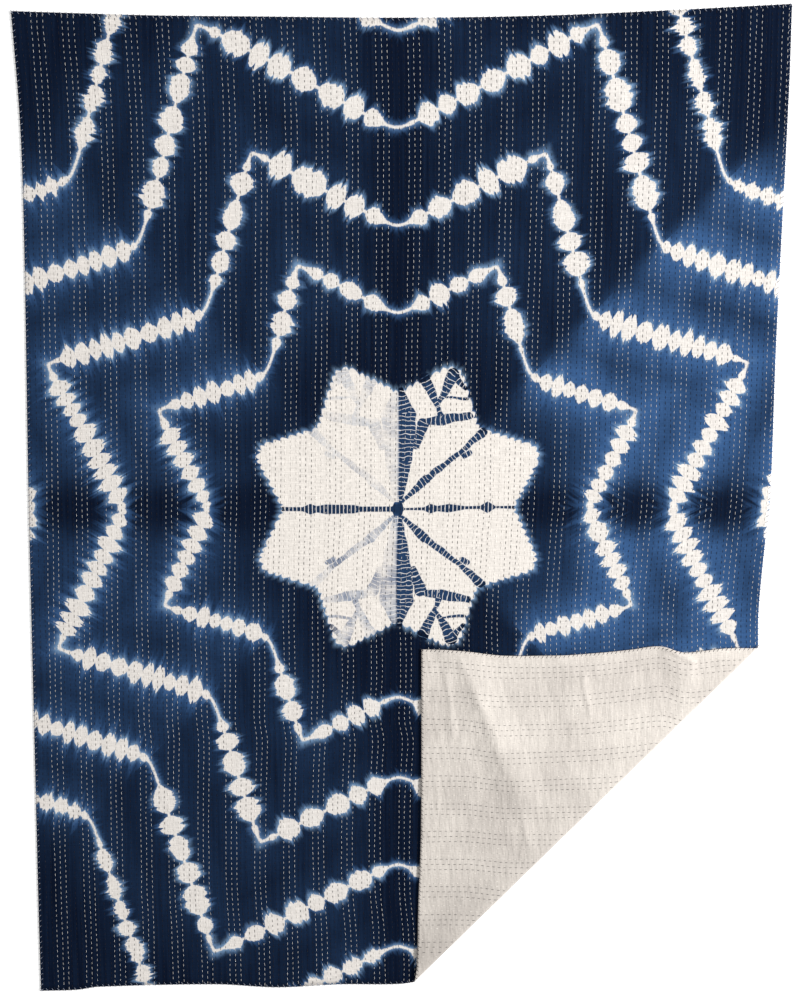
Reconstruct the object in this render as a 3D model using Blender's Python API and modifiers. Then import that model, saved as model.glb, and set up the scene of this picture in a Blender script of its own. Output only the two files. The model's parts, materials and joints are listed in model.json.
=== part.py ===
"""Kantha throw, 52 by 70 inches: two cotton cloths quilted together, one corner folded over the front.

Metres, +Z up. The throw lies on the plane z = 0 with its length along Y and its dyed front upwards.
The origin is under the middle of its outline. A flat place is a place on the cloth before the fold.
"""

import math
from collections import namedtuple

import bmesh
import bpy
from mathutils import Vector

# The two cloths, and the quilted pair that they make
CLOTH_THICKNESS = 0.0012
CLOTH_GAP = 0.0003
PAIR_THICKNESS = 2 * CLOTH_THICKNESS + CLOTH_GAP
WIDTH = 1.335

# Running stitch along the length: rows in threes, one group in dark thread and the next in light
GROUP_COUNT = 50
GROUP_PITCH = 0.0268
FIRST_GROUP = 0.016

# The cloth stands up in a low band between two groups, higher in some places than in others
BAND_RISE = 0.0006
BAND_UNEVENNESS = 0.3
BAND_WAVE = 0.31
EDGE_FADE = 0.012

# The folded corner: a round crease that settles until the flap lies just above the front
CREASE_ANGLE = math.radians(46)
CREASE_OFFSET = 0.628
CREASE_RADIUS = 0.004
CREASE_STEPS = 8
CREASE_LENGTH = math.pi * CREASE_RADIUS
SETTLE_LENGTH = 0.06
FLAP_GAP = 0.0022
RISE_FADE = 0.012

# Lines of the mesh along the width: fine where the corner folds, coarser above it
FOLD_SHARE = 0.38
FOLD_ROWS = 13
PLAIN_ROWS = 5

ALONG_CREASE = Vector((math.cos(CREASE_ANGLE), math.sin(CREASE_ANGLE), 0))
ACROSS_CREASE = Vector((math.sin(CREASE_ANGLE), -math.cos(CREASE_ANGLE), 0))
UP = Vector((0, 0, 1))

# The outline before the fold. "along" runs with the edge and "across" is where the edge lies there.
EdgePoint = namedtuple("EdgePoint", "along across")
TOP_EDGE = [
    EdgePoint(-0.667, 0.890),
    EdgePoint(-0.430, 0.883),
    EdgePoint(-0.240, 0.881),
    EdgePoint(0.000, 0.879),
    EdgePoint(0.225, 0.882),
    EdgePoint(0.430, 0.890),
    EdgePoint(0.667, 0.902),
]
BOTTOM_EDGE = [
    EdgePoint(-0.667, -0.902),
    EdgePoint(-0.600, -0.900),
    EdgePoint(-0.560, -0.894),
    EdgePoint(-0.340, -0.889),
    EdgePoint(-0.225, -0.895),
    EdgePoint(-0.110, -0.889),
    EdgePoint(0.005, -0.888),
    EdgePoint(0.060, -0.878),
    EdgePoint(0.180, -0.871),
    EdgePoint(0.330, -0.861),
    EdgePoint(0.667, -0.849),
]
LEFT_EDGE = [
    EdgePoint(-0.902, -0.675),
    EdgePoint(-0.720, -0.674),
    EdgePoint(-0.430, -0.671),
    EdgePoint(0.040, -0.666),
    EdgePoint(0.500, -0.658),
    EdgePoint(0.700, -0.658),
    EdgePoint(0.890, -0.667),
]
RIGHT_EDGE = [
    EdgePoint(-0.849, 0.673),
    EdgePoint(-0.778, 0.669),
    EdgePoint(-0.700, 0.656),
    EdgePoint(-0.550, 0.654),
    EdgePoint(-0.470, 0.659),
    EdgePoint(-0.411, 0.664),
    EdgePoint(-0.371, 0.651),
    EdgePoint(-0.290, 0.656),
    EdgePoint(-0.170, 0.653),
    EdgePoint(-0.020, 0.662),
    EdgePoint(0.040, 0.667),
    EdgePoint(0.325, 0.668),
    EdgePoint(0.758, 0.675),
    EdgePoint(0.902, 0.675),
]

# Soft ridges across the flap, each from one place to another as they lie after the fold
Ridge = namedtuple("Ridge", "start end height half_width")
FLAP_RIDGES = [
    Ridge(start=(0.11, -0.24), end=(0.22, -0.50), height=0.006, half_width=0.055),
    Ridge(start=(0.30, -0.24), end=(0.33, -0.37), height=0.003, half_width=0.045),
    Ridge(start=(0.49, -0.22), end=(0.53, -0.30), height=0.004, half_width=0.045),
]


def clear_scene():
    for thing in list(bpy.data.objects):
        bpy.data.objects.remove(thing, do_unlink=True)


def ease(share):
    """Rise smoothly from 0 to 1 while share does, and stay level outside that range."""
    share = min(max(share, 0.0), 1.0)
    return share * share * (3 - 2 * share)


def edge_slope(edge, row):
    before, after = edge[max(row - 1, 0)], edge[min(row + 1, len(edge) - 1)]
    return (after.across - before.across) / (after.along - before.along)


def edge_at(edge, along):
    """Read an edge's table at one place, on a smooth curve through its rows."""
    row = sum(point.along <= along for point in edge[1:-1])
    low, high = edge[row], edge[row + 1]
    span, rise = high.along - low.along, high.across - low.across
    share = min(max((along - low.along) / span, 0.0), 1.0)
    start, end = edge_slope(edge, row) * span, edge_slope(edge, row + 1) * span
    bend, twist = 3 * rise - 2 * start - end, start + end - 2 * rise
    return low.across + share * (start + share * (bend + share * twist))


def flat_place(across, along):
    """Turn shares of the width and of the length into a flat place."""
    x = WIDTH * (across - 0.5)
    low, high = edge_at(BOTTOM_EDGE, x), edge_at(TOP_EDGE, x)
    y = low + (high - low) * along
    left, right = edge_at(LEFT_EDGE, y), edge_at(RIGHT_EDGE, y)
    return Vector((left + (right - left) * across, y, 0))


def column_shares():
    """Lines along the length: the middle of each stitch group, and the band's crest beside it."""
    steps = range(2 * GROUP_COUNT - 1)
    places = [0.0] + [FIRST_GROUP + step * GROUP_PITCH / 2 for step in steps] + [WIDTH]
    return [place / WIDTH for place in places]


def row_shares():
    """Lines along the width, from the bottom edge to the top edge."""
    fold = [FOLD_SHARE * row / FOLD_ROWS for row in range(FOLD_ROWS)]
    plain = [FOLD_SHARE + (1 - FOLD_SHARE) * row / PLAIN_ROWS for row in range(PLAIN_ROWS + 1)]
    return fold + plain


def crease_cuts():
    """Distances past the start of the crease at which the mesh has a line along it."""
    bend = [CREASE_LENGTH * step / CREASE_STEPS for step in range(CREASE_STEPS + 1)]
    settle = [CREASE_LENGTH + SETTLE_LENGTH * share for share in (0.25, 0.5, 0.75, 1.0)]
    return [-RISE_FADE] + bend + settle


def flat_sheet():
    """A flat cloth of the throw's outline, with lines where the fold and the bands need them.

    It is cut into triangles here, so that both cloths bend along the same lines.
    """
    columns, rows = column_shares(), row_shares()
    across, along = len(columns) - 1, len(rows) - 1
    sheet = bmesh.new()
    bmesh.ops.create_grid(sheet, x_segments=across, y_segments=along, size=0.5)
    for vert in sheet.verts:
        column = columns[round((vert.co.x + 0.5) * across)]
        row = rows[round((vert.co.y + 0.5) * along)]
        vert.co = flat_place(column, row)
    for cut in crease_cuts():
        bmesh.ops.bisect_plane(
            sheet,
            geom=sheet.verts[:] + sheet.edges[:] + sheet.faces[:],
            dist=0.0001,
            plane_co=ACROSS_CREASE * (CREASE_OFFSET + cut),
            plane_no=ACROSS_CREASE,
        )
    bmesh.ops.triangulate(sheet, faces=sheet.faces[:])
    return sheet


def past_crease(place):
    """Distance of a flat place past the start of the crease, less than 0 on the cloth below the flap."""
    return place.dot(ACROSS_CREASE) - CREASE_OFFSET


def band_rise(place):
    """How far a cloth stands up from the pair at a flat place: most between groups, none in the crease."""
    left, right = edge_at(LEFT_EDGE, place.y), edge_at(RIGHT_EDGE, place.y)
    low, high = edge_at(BOTTOM_EDGE, place.x), edge_at(TOP_EDGE, place.x)
    from_left = WIDTH * (place.x - left) / (right - left)
    group = round((from_left - FIRST_GROUP) / GROUP_PITCH)
    from_group = abs(from_left - FIRST_GROUP - group * GROUP_PITCH)
    crest = ease(2 * from_group / GROUP_PITCH)
    wave = 1 - BAND_UNEVENNESS * (0.5 + 0.5 * math.sin(math.tau * place.y / BAND_WAVE + 2.4 * group))
    from_edge = min(from_left, WIDTH - from_left, place.y - low, high - place.y)
    past = past_crease(place)
    from_crease = max(-past, past - CREASE_LENGTH)
    return BAND_RISE * crest * wave * ease(from_edge / EDGE_FADE) * ease(from_crease / RISE_FADE)


def ridge_lift(x, y):
    """How far the flap's ridges lift it at a place on the plane below."""
    place, lift = Vector((x, y)), 0.0
    for ridge in FLAP_RIDGES:
        start, end = Vector(ridge.start), Vector(ridge.end)
        share = (place - start).dot(end - start) / (end - start).length_squared
        foot = start.lerp(end, min(max(share, 0.0), 1.0))
        lift += ridge.height * ease(1 - (place - foot).length / ridge.half_width)
    return lift


def folded_place(place, offset):
    """Move a flat place to where it lies folded, offset from the pair's middle towards the dyed face."""
    past = past_crease(place)
    bottom = PAIR_THICKNESS / 2
    if past <= 0:
        outward, height, turn = past, bottom, 0.0
    elif past < CREASE_LENGTH:
        turn = past / CREASE_RADIUS
        outward = CREASE_RADIUS * math.sin(turn)
        height = bottom + CREASE_RADIUS * (1 - math.cos(turn))
    else:
        turn = math.pi
        outward = CREASE_LENGTH - past
        settled = bottom + PAIR_THICKNESS + FLAP_GAP
        round_top = bottom + 2 * CREASE_RADIUS
        height = round_top + (settled - round_top) * ease(-outward / SETTLE_LENGTH)
    along = ALONG_CREASE * place.dot(ALONG_CREASE)
    across = ACROSS_CREASE * (CREASE_OFFSET + outward - offset * math.sin(turn))
    folded = along + across + UP * (height + offset * math.cos(turn))
    if turn == math.pi:
        folded.z += ridge_lift(folded.x, folded.y) * ease(-outward / SETTLE_LENGTH)
    return folded


def front_offset(place):
    """The dyed cloth's hidden face, which stands up between the rows of stitches."""
    return CLOTH_GAP / 2 + band_rise(place)


def back_offset(place):
    """The plain cloth's outer face: flat where it lies on the floor, and raised in bands on the flap."""
    rise = band_rise(place) if past_crease(place) > 0 else 0.0
    return -PAIR_THICKNESS / 2 - rise


def cotton(name, colour, roughness):
    material = bpy.data.materials.new(name)
    material.use_nodes = True
    shader = material.node_tree.nodes["Principled BSDF"]
    shader.inputs["Base Color"].default_value = (*colour, 1)
    shader.inputs["Roughness"].default_value = roughness
    shader.inputs["Metallic"].default_value = 0
    material.diffuse_color = (*colour, 1)
    return material


def make_cloth(collection, name, offset_at, material):
    """Fold one cloth's face and give it its thickness, which grows towards the dyed side."""
    sheet = flat_sheet()
    for vert in sheet.verts:
        vert.co = folded_place(vert.co, offset_at(vert.co))
    mesh = bpy.data.meshes.new(name)
    sheet.to_mesh(mesh)
    sheet.free()
    cloth = bpy.data.objects.new(name, mesh)
    collection.objects.link(cloth)
    mesh.materials.append(material)
    mesh.shade_smooth()
    body = cloth.modifiers.new("Cloth thickness", "SOLIDIFY")
    body.thickness = CLOTH_THICKNESS
    body.offset = 1
    return cloth


def make_throw():
    clear_scene()
    throw = bpy.data.collections.new("kantha_throw")
    bpy.context.scene.collection.children.link(throw)
    indigo = cotton("indigo_dyed_cotton", (0.022, 0.045, 0.125), 0.92)
    cream = cotton("cream_cotton", (0.72, 0.66, 0.59), 0.92)
    make_cloth(throw, "front_cloth", front_offset, indigo)
    make_cloth(throw, "back_cloth", back_offset, cream)


make_throw()
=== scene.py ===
"""Kantha throw: how its two quilted cottons and their stitches look, lying on a pale floor.

Metres, +Z up, in the solids' own frame: the throw's length runs along Y and its dyed front is up.
A flat place is a place on the cloth before its corner was folded over.
"""

import json
import math
from functools import partial

import bmesh
import bpy
import numpy as np
from bpy.props import FloatProperty, FloatVectorProperty, IntProperty, PointerProperty
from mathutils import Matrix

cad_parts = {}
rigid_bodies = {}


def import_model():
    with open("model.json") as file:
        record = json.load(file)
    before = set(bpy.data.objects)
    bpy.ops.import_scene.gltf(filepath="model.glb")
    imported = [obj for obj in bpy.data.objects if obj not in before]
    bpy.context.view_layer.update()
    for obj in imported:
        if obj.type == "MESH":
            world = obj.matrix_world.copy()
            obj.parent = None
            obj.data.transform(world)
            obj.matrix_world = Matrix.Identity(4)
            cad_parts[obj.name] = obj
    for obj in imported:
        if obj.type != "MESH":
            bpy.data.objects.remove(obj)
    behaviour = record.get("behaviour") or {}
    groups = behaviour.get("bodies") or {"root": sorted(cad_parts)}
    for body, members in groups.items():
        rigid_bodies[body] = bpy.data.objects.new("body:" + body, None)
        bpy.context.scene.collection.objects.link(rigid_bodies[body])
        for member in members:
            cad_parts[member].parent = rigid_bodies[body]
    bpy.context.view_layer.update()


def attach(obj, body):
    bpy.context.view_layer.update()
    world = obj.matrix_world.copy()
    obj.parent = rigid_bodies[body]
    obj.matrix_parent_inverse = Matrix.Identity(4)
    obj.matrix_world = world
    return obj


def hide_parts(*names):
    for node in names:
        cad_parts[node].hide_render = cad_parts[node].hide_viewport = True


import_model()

bl_info = {
    "name": "Kantha throw",
    "version": (1, 0, 0),
    "blender": (4, 5, 0),
    "location": "View3D > Sidebar > Throw",
    "description": "Two quilted cottons, dyed and plain, with running and overcast stitches",
    "category": "Add Mesh",
}

MM = 0.001

# Cloth: the flat size of both cloths, and how they lie on each other
WIDTH = 1.335
LENGTH = 1.780
CLOTH_THICKNESS = 1.2 * MM
CLOTH_GAP = 0.3 * MM
PAIR_THICKNESS = 2 * CLOTH_THICKNESS + CLOTH_GAP
THREAD_ROOM = 0.8 * MM

# Running stitch along the length: rows in threes, one group in dark thread and the next in light
GROUP_COUNT = 50
GROUP_PITCH = 26.8 * MM
FIRST_GROUP = 16 * MM
ROW_PITCH = 10 * MM
EDGE_FADE = 12 * MM
HEM = 3 * MM
ROW_END = 4 * MM
ROW_STEP = 5 * MM
SHORTEST_RUN = 4
# How far groups and single rows sway, in millimetres, at how many places along them
GROUP_SWAY, GROUP_KNOTS = 1.4, 9
ROW_SWAY, ROW_KNOTS = 0.6, 60
# The share of its height by which thread lies proud of the cloth
THREAD_STAND = 0.15
# Puckers: the grain of the noise that varies them, across and along
WAVE_GRAIN = (30 * MM, 60 * MM)
PUCKER_GRAIN = 26 * MM

# Overcast stitch around the edges
OVERCAST_INSET = 2 * MM
OVERCAST_ROOM = 0.5 * MM
OVERCAST_THREAD = 0.45 * MM
OVERCAST_SLANT = math.radians(35)
EDGE_POINTS = 400

# Lines of mesh along the length. The plain cloth is fine only as far up as the flap takes it.
FRONT_LINES = 141
FLAP_SHARE = 0.37
FLAP_LINES = 181
HIDDEN_LINES = 31
# Away from the flap it keeps one in this many of the lines across its width
HIDDEN_STEP = 6

# Folded corner
CREASE_ANGLE = math.radians(46)
CREASE_OFFSET = 0.628
CREASE_RADIUS = 4 * MM
CREASE_STEPS = 14
CREASE_LENGTH = math.pi * CREASE_RADIUS
SETTLE_LENGTH = 60 * MM
FLAP_GAP = 2.2 * MM
RISE_FADE = 12 * MM
ALONG_CREASE = np.array([math.cos(CREASE_ANGLE), math.sin(CREASE_ANGLE)])
ACROSS_CREASE = np.array([math.sin(CREASE_ANGLE), -math.cos(CREASE_ANGLE)])

# The outline before the fold. Each row is a place along the edge, and where the edge lies there.
TOP_EDGE = [
    (-0.667, 0.890), (-0.430, 0.883), (-0.240, 0.881), (0.000, 0.879), (0.225, 0.882),
    (0.430, 0.890), (0.667, 0.902),
]
BOTTOM_EDGE = [
    (-0.667, -0.902), (-0.600, -0.900), (-0.560, -0.894), (-0.340, -0.889), (-0.225, -0.895),
    (-0.110, -0.889), (0.005, -0.888), (0.060, -0.878), (0.180, -0.871), (0.330, -0.861),
    (0.667, -0.849),
]
LEFT_EDGE = [
    (-0.902, -0.675), (-0.720, -0.674), (-0.430, -0.671), (0.040, -0.666), (0.500, -0.658),
    (0.700, -0.658), (0.890, -0.667),
]
RIGHT_EDGE = [
    (-0.849, 0.673), (-0.778, 0.669), (-0.700, 0.656), (-0.550, 0.654), (-0.470, 0.659),
    (-0.411, 0.664), (-0.371, 0.651), (-0.290, 0.656), (-0.170, 0.653), (-0.020, 0.662),
    (0.040, 0.667), (0.325, 0.668), (0.758, 0.675), (0.902, 0.675),
]

# Soft ridges across the flap, each from one place to another as they lie after the fold, with its height
# and its half width in millimetres
FLAP_RIDGES = [
    ((0.11, -0.24), (0.22, -0.50), 6, 55),
    ((0.30, -0.24), (0.33, -0.37), 3, 45),
    ((0.49, -0.22), (0.53, -0.30), 4, 45),
]
# Small creases that only show close to: a pleat by the crease's upper end, and soft dents
FLAP_CREASES = [
    ((0.475, -0.226), (0.535, -0.262), 2.6, 8),
    ((0.115, -0.262), (0.150, -0.345), 1.8, 14),
    ((0.150, -0.345), (0.200, -0.470), 1.6, 16),
    ((0.085, -0.285), (0.100, -0.400), 2.0, 10),
    ((0.335, -0.285), (0.350, -0.360), 1.8, 10),
    ((0.230, -0.560), (0.245, -0.640), 1.8, 12),
]

# The star: bound rings around its middle, each known by where it crosses its notches. Between a notch
# and a tip a ring leaves the middle by this slope.
STAR_MIDDLE = (-0.002, 0.022, 0.0)
STAR_TIP_ANGLE = math.pi / 8
STAR_DRIFT = (14 * MM, 14 * MM, 0.0)
STAR_SQUEEZE = 0.985
RING_SLOPE = 0.54
ARM_SHARE = 0.58
NOTCH_ROUNDING = 15 * MM
TIP_ROUNDING = 5 * MM
TIP_SLOPE = 0.86
DIAGONAL_DEPTH = 9 * MM
# Notch, half height and ravel of each ring
RINGS = [
    (0.345, 17 * MM, 4 * MM),
    (0.496, 21 * MM, 5 * MM),
    (0.662, 20 * MM, 5 * MM),
    (0.822, 14 * MM, 9 * MM),
]
LINE_HALF_WIDTH = 2.4 * MM
CLOSE_BEADS = 25 * MM
SINGLE_BEADS = 46 * MM
FLOWER_NOTCH = 0.203
FLOWER_TIP = 0.264
FLOWER_SLOPE = 0.52
SCALLOP_PITCH = 13 * MM
SCALLOP_HEIGHT = 6 * MM
TIP_BLUNTING = 8 * MM

# Folds in one quarter of the flower that let dye in, from place to place beside its middle, with the
# half widths there in millimetres
FLOWER_FOLDS = [
    ((0.004, 0.012), (0.008, 0.088), (3, 16)),
    ((0.008, 0.088), (0.012, 0.165), (16, 20)),
    ((0.012, 0.165), (0.004, 0.212), (19, 5)),
    ((0.030, 0.112), (0.044, 0.150), (7, 11)),
    ((0.008, 0.014), (0.048, 0.052), (3, 9)),
    ((0.048, 0.052), (0.118, 0.106), (7, 4)),
    ((0.118, 0.106), (0.152, 0.138), (5, 8)),
    ((0.116, 0.093), (0.126, 0.098), (5, 5)),
    ((0.046, 0.154), (0.080, 0.158), (6, 9)),
    ((0.080, 0.158), (0.128, 0.166), (10, 6)),
    ((0.048, 0.230), (0.070, 0.184), (11, 5)),
    ((0.070, 0.184), (0.076, 0.166), (4, 6)),
    ((0.074, 0.190), (0.098, 0.238), (4, 12)),
    ((0.098, 0.238), (0.120, 0.214), (8, 4)),
    ((0.078, 0.200), (0.122, 0.196), (2, 3)),
]
# Places and half widths in millimetres of the dye along the level fold, from the left rim to the right
FLOWER_SEAM = [
    (-0.200, 4), (-0.172, 4), (-0.158, 10), (-0.146, 6), (-0.130, 9), (-0.080, 8), (-0.066, 5),
    (-0.010, 5), (-0.007, 13), (0.007, 13), (0.010, 2), (0.046, 3), (0.058, 9), (0.070, 5),
    (0.090, 8), (0.120, 3), (0.146, 3), (0.160, 11), (0.174, 2), (0.199, 3),
]
SEAM_HALF_LENGTH = 0.2
SEAM_RUNG_PITCH = 7 * MM
RUNG_PITCH = 8 * MM
FOLD_WOBBLE = (6 * MM, 6 * MM, 0)

# The camera looks down at the throw's middle, ten degrees off straight down
CAMERA_TILT = math.radians(10)
CAMERA_DISTANCE = 3.36
CAMERA_TARGET = (0.0016, 0.0347)
CAMERA_LENS = 67.1
SENSOR_WIDTH = 36

# Light: a soft key from the right, an even sky and a floor that glows a little
WHITE = (1.0, 1.0, 1.0, 1)
KEY_PLACE = (5.0, 1.5, 4.0)
KEY_SIZE = 1.6
KEY_WATTS = 410
SKY_STRENGTH = 0.44
FLOOR_GLOW = 0.35
FLOOR_SIZE = 40

# Surfaces: how matt cotton and its thread are, and how a mix of colours multiplies them
COTTON = {"Roughness": 0.93, "Specular IOR Level": 0.04}
THREAD = {"Roughness": 0.85}
COLOURS = {"data_type": "RGBA"}
MULTIPLIED = COLOURS | {"blend_type": "MULTIPLY"}


def ease(share):
    """Rise smoothly from 0 to 1 while share does, and stay level outside that range."""
    share = np.clip(share, 0.0, 1.0)
    return share * share * (3 - 2 * share)


def edge_at(edge, along):
    """Read an edge's table at many places, on a smooth curve through its rows."""
    at, across = np.array(edge).T
    before = np.maximum(np.arange(len(at)) - 1, 0)
    after = np.minimum(np.arange(len(at)) + 1, len(at) - 1)
    slope = (across[after] - across[before]) / (at[after] - at[before])
    low = np.clip(np.searchsorted(at, along, side="right") - 1, 0, len(at) - 2)
    span, rise = at[low + 1] - at[low], across[low + 1] - across[low]
    share = np.clip((along - at[low]) / span, 0.0, 1.0)
    start, end = slope[low] * span, slope[low + 1] * span
    bend, twist = 3 * rise - 2 * start - end, start + end - 2 * rise
    return across[low] + share * (start + share * (bend + share * twist))


def flat_places(across, along):
    """Turn shares of the width and of the length into flat places."""
    x = WIDTH * (across - 0.5)
    low, high = edge_at(BOTTOM_EDGE, x), edge_at(TOP_EDGE, x)
    y = low + (high - low) * along
    left, right = edge_at(LEFT_EDGE, y), edge_at(RIGHT_EDGE, y)
    return np.stack([left + (right - left) * across, y], axis=-1)


def shares(places):
    """The other way round: shares of the width and of the length at flat places."""
    left, right = edge_at(LEFT_EDGE, places[:, 1]), edge_at(RIGHT_EDGE, places[:, 1])
    across = (places[:, 0] - left) / (right - left)
    x = WIDTH * (across - 0.5)
    low, high = edge_at(BOTTOM_EDGE, x), edge_at(TOP_EDGE, x)
    return across, (places[:, 1] - low) / (high - low)


def past_crease(places):
    """Distance past the start of the crease, less than 0 on the cloth below the flap."""
    return places @ ACROSS_CREASE - CREASE_OFFSET


def soft_noise(across, along, grain_across, grain_along, seed):
    """Even noise between -1 and 1 with a grain of its own size each way, the same in each run."""
    u, v = across * WIDTH / grain_across, along * LENGTH / grain_along
    values = np.random.default_rng(seed).uniform(-1, 1, (int(u.max()) + 3, int(v.max()) + 3))
    column, row = np.maximum(u, 0).astype(int), np.maximum(v, 0).astype(int)
    right, up = ease(u - column), ease(v - row)
    low = values[column, row] * (1 - right) + values[column + 1, row] * right
    high = values[column, row + 1] * (1 - right) + values[column + 1, row + 1] * right
    return low * (1 - up) + high * up


def quilted_rise(places, sizes):
    """How far a cloth stands up from the pair: sewn down along the rows and full between them."""
    across, along = shares(places)
    from_left = across * WIDTH
    group = np.clip(np.round((from_left - FIRST_GROUP) / GROUP_PITCH), 0, GROUP_COUNT - 1)
    from_group = np.abs(from_left - FIRST_GROUP - group * GROUP_PITCH)
    past_rows = np.clip((from_group - ROW_PITCH) / (GROUP_PITCH - 2 * ROW_PITCH), 0, 1)
    fullness = np.sin(math.pi * np.where(from_group < ROW_PITCH, from_group / ROW_PITCH, past_rows))
    wave = 0.75 + 0.25 * soft_noise(across, along, *WAVE_GRAIN, 11)
    pucker = soft_noise(across, along, PUCKER_GRAIN, sizes.pucker_pitch, 12)
    rise = (sizes.row_rise * wave + sizes.pucker_depth * pucker) * fullness
    from_edge = np.minimum(from_left, WIDTH - from_left)
    from_edge = np.minimum(from_edge, np.minimum(along, 1 - along) * LENGTH)
    past = past_crease(places)
    from_crease = np.maximum(-past, past - CREASE_LENGTH)
    return np.maximum(rise, 0) * ease(from_edge / EDGE_FADE) * ease(from_crease / RISE_FADE)


def ridge_lift(places, ridges):
    """How far ridges lift the flap at places on the plane below."""
    lift = np.zeros(len(places))
    for start, end, height, half_width in ridges:
        run = np.subtract(end, start)
        share = np.clip((places - start) @ run / (run @ run), 0, 1)
        away = np.linalg.norm(places - start - share[:, None] * run, axis=1)
        lift += height * MM * ease(1 - away / (half_width * MM))
    return lift


def folded_places(places, offset):
    """Move flat places to where they lie folded, offset from the pair's middle towards the dyed face.

    It also gives the way that the dyed face looks there.
    """
    past = past_crease(places)
    bottom = PAIR_THICKNESS / 2 + THREAD_ROOM
    turn = np.clip(past / CREASE_RADIUS, 0, math.pi)
    beyond = np.maximum(past - CREASE_LENGTH, 0)
    outward = np.minimum(past, 0) + CREASE_RADIUS * np.sin(turn) - beyond
    height = bottom + CREASE_RADIUS * (1 - np.cos(turn))
    settled = bottom + PAIR_THICKNESS + FLAP_GAP
    settling = ease(beyond / SETTLE_LENGTH)
    height += (settled - bottom - 2 * CREASE_RADIUS) * settling
    across = CREASE_OFFSET + outward - offset * np.sin(turn)
    plan = np.outer(places @ ALONG_CREASE, ALONG_CREASE) + np.outer(across, ACROSS_CREASE)
    lift = ridge_lift(plan, FLAP_RIDGES) + ridge_lift(plan, FLAP_CREASES)
    height += lift * settling + offset * np.cos(turn)
    facing = np.outer(-np.sin(turn), ACROSS_CREASE)
    return np.column_stack([plan, height]), np.column_stack([facing, np.cos(turn)])


def front_offset(places, sizes):
    """The dyed cloth's hidden face."""
    return CLOTH_GAP / 2 + sizes.front_share * quilted_rise(places, sizes)


def back_offset(places, sizes):
    """The plain cloth's outer face: flat on the floor, and quilted on the flap."""
    rise = quilted_rise(places, sizes) * (past_crease(places) > 0)
    return -PAIR_THICKNESS / 2 - rise


def quilt_columns():
    """Shares of the width for lines along the length: on the rows of stitches and midway between."""
    places = [0.0, HEM]
    for group in range(GROUP_COUNT):
        centre = FIRST_GROUP + group * GROUP_PITCH
        places += [centre + ROW_PITCH * step / 2 for step in range(-2, 3)] + [centre + GROUP_PITCH / 2]
    return np.array([place for place in places if place < WIDTH - HEM] + [WIDTH]) / WIDTH


def flat_grid(name, columns, rows):
    """A flat cloth with lines at these shares of its size, and more lines along the crease."""
    sheet = bmesh.new()
    across, along = len(columns) - 1, len(rows) - 1
    bmesh.ops.create_grid(sheet, x_segments=across, y_segments=along, size=0.5)
    grid = flat_places(*np.meshgrid(columns, rows))
    for vert in sheet.verts:
        vert.co.xy = grid[round((vert.co.y + 0.5) * along), round((vert.co.x + 0.5) * across)]
    bend = [CREASE_LENGTH * step / CREASE_STEPS for step in range(CREASE_STEPS + 1)]
    for cut in [-RISE_FADE / 2] + bend + [CREASE_LENGTH + RISE_FADE / 2]:
        bmesh.ops.bisect_plane(
            sheet,
            geom=sheet.verts[:] + sheet.edges[:] + sheet.faces[:],
            dist=0.1 * MM,
            plane_co=(*ACROSS_CREASE * (CREASE_OFFSET + cut), 0),
            plane_no=(*ACROSS_CREASE, 0),
        )
    mesh = bpy.data.meshes.new(name)
    sheet.to_mesh(mesh)
    sheet.free()
    return mesh


def new_object(name, data):
    """An object in the scene."""
    made = bpy.data.objects.new(name, data)
    bpy.context.scene.collection.objects.link(made)
    return made


def make_cloth(name, columns, rows, offset_at, sizes, material):
    """Fold one cloth's face and give it its thickness, less at its edges, where the stitches pull."""
    mesh = flat_grid(name, columns, rows)
    flat = np.empty(len(mesh.vertices) * 3, dtype=np.float32)
    mesh.vertices.foreach_get("co", flat)
    places = flat.reshape(-1, 3)[:, :2].astype(float)
    folded = folded_places(places, offset_at(places, sizes))[0]
    mesh.vertices.foreach_set("co", folded.astype(np.float32).ravel())
    corners = np.empty(len(mesh.loops), dtype=np.int32)
    mesh.loops.foreach_get("vertex_index", corners)
    cloth_map = mesh.uv_layers.new(name="cloth")
    cloth_map.data.foreach_set("uv", places[corners].astype(np.float32).ravel())
    mesh.update()
    mesh.shade_smooth()
    mesh.materials.append(material)
    cloth = new_object(name, mesh)
    across, along = shares(places)
    from_edge = np.minimum(np.minimum(across, 1 - across) * WIDTH, np.minimum(along, 1 - along) * LENGTH)
    fullness = cloth.vertex_groups.new(name="fullness")
    near = from_edge < EDGE_FADE / 2
    fullness.add(np.flatnonzero(~near).tolist(), 1.0, "REPLACE")
    for index in np.flatnonzero(near):
        fullness.add([int(index)], float(0.5 + ease(from_edge[index] / EDGE_FADE * 2) / 2), "REPLACE")
    body = cloth.modifiers.new("Cloth thickness", "SOLIDIFY")
    body.thickness = CLOTH_THICKNESS
    body.offset = 1
    body.vertex_group = fullness.name
    return cloth


def linear(colour):
    """An sRGB hex colour as the linear numbers that Blender wants."""
    parts = [int(colour[start:start + 2], 16) / 255 for start in (1, 3, 5)]
    return [part / 12.92 if part <= 0.04045 else ((part + 0.055) / 1.055) ** 2.4 for part in parts]


# The kinds of node that are used often
LEVEL = "ShaderNodeMapRange"
VECTORS = "ShaderNodeVectorMath"
MIX = "ShaderNodeMix"
NOISE = "ShaderNodeTexNoise"
JOINED = "ShaderNodeCombineXYZ"


def feed(node, inputs):
    """Give a node values, or links to what feeds it: by name, or to its shown inputs in their order."""
    named = isinstance(inputs, dict)
    sockets = node.inputs if named else [socket for socket in node.inputs if socket.enabled]
    for place, value in inputs.items() if named else enumerate(inputs):
        if isinstance(value, bpy.types.Node):
            value = next(output for output in value.outputs if output.enabled)
        if isinstance(value, bpy.types.NodeSocket):
            node.id_data.links.new(value, sockets[place])
        elif value is not None:
            sockets[place].default_value = value


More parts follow.
